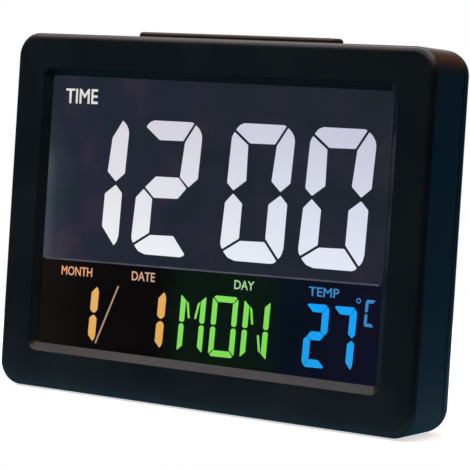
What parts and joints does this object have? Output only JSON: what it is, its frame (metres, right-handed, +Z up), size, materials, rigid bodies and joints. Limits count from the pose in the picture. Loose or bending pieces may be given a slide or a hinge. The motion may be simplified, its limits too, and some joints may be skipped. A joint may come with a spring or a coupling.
{
  "type": "digital day clock",
  "caption": "Desk clock with a large colour LCD for time, date, weekday and temperature, a snooze bar on top, keys and a battery hump on the back",
  "frame": {"origin": "on the table under the middle of the clock", "axes": "+Z up, -Y out of the display towards the viewer, +X to the viewer's right along the face's width"},
  "size_m": [0.142, 0.0414, 0.1067],
  "materials": {
    "black_case": "satin",
    "clear_acrylic": "polished",
    "display_glass": "polished",
    "colour_film": "gloss",
    "white_plastic": "matte",
    "light_guide_acrylic": "polished",
    "black_tape": "matte",
    "circuit_board": "satin",
    "white_leds": "satin",
    "zebra_rubber": "matte",
    "black_epoxy": "gloss",
    "tinned_steel": "satin",
    "aluminium_can": "satin",
    "sensor_epoxy": "gloss",
    "black_parts": "matte",
    "ribbon_grey": "matte",
    "nickel_steel": "bright",
    "cell_jacket": "gloss",
    "zinc_steel": "satin",
    "foot_rubber": "matte"
  },
  "bodies": {
    "case": {"front_bezel": "black_case", "rear_cover": "black_case", "lens_tape": "black_tape", "display_lens": "clear_acrylic", "lcd_panel": "display_glass", "colour_film": "colour_film", "diffuser_sheet": "white_plastic", "reflector_sheet": "white_plastic", "light_guide": "light_guide_acrylic", "led_strip": "circuit_board", "backlight_leds": "white_leds", "backlight_tray": "white_plastic", "zebra_connector": "zebra_rubber", "main_board": "circuit_board", "clock_chip": "black_epoxy", "quartz_crystal": "tinned_steel", "capacitors": "aluminium_can", "temperature_sensor": "sensor_epoxy", "buzzer": "black_parts", "snooze_switch": "black_parts", "key_board": "circuit_board", "key_switches": "black_parts", "board_ribbon": "ribbon_grey", "usb_board": "circuit_board", "usb_socket": "nickel_steel", "battery_cells": "cell_jacket", "negative_contact": "nickel_steel", "right_link_contact": "nickel_steel", "left_link_contact": "nickel_steel", "positive_contact": "nickel_steel", "case_screws": "zinc_steel", "board_screws": "zinc_steel", "key_board_screws": "zinc_steel", "rubber_feet": "foot_rubber"},
    "snooze_bar": {"snooze_bar": "black_case", "snooze_plunger": "black_parts"},
    "battery_door": {"battery_door": "black_case"},
    "set_button": {"set_button": "black_case", "set_plunger": "black_parts"},
    "up_button": {"up_button": "black_case", "up_plunger": "black_parts"},
    "down_button": {"down_button": "black_case", "down_plunger": "black_parts"},
    "alarm_button": {"alarm_button": "black_case", "alarm_plunger": "black_parts"},
    "unit_button": {"unit_button": "black_case", "unit_plunger": "black_parts"}
  },
  "joints": [
    {"name": "snooze_press", "type": "slide", "parent": "case", "child": "snooze_bar", "axis": [0, -0.0349, -0.9994], "range_m": [0, 0.0008], "stiffness_N_per_m": 900, "springref_m": -0.0008},
    {"name": "set_press", "type": "slide", "parent": "case", "child": "set_button", "axis": [0, -0.9994, 0.0349], "range_m": [0, 0.0005], "stiffness_N_per_m": 1000, "springref_m": -0.0006},
    {"name": "up_press", "type": "slide", "parent": "case", "child": "up_button", "axis": [0, -0.9994, 0.0349], "range_m": [0, 0.0005], "stiffness_N_per_m": 1000, "springref_m": -0.0006},
    {"name": "down_press", "type": "slide", "parent": "case", "child": "down_button", "axis": [0, -0.9994, 0.0349], "range_m": [0, 0.0005], "stiffness_N_per_m": 1000, "springref_m": -0.0006},
    {"name": "alarm_press", "type": "slide", "parent": "case", "child": "alarm_button", "axis": [0, -0.9994, 0.0349], "range_m": [0, 0.0005], "stiffness_N_per_m": 1000, "springref_m": -0.0006},
    {"name": "unit_press", "type": "slide", "parent": "case", "child": "unit_button", "axis": [0, -0.9994, 0.0349], "range_m": [0, 0.0005], "stiffness_N_per_m": 1000, "springref_m": -0.0006},
    {"name": "battery_door_tilt", "type": "hinge", "parent": "case", "child": "battery_door", "pos_m": [0, 0.01915, 0.01221], "axis": [-1, 0, 0], "range_deg": [0, 60]}
  ]
}
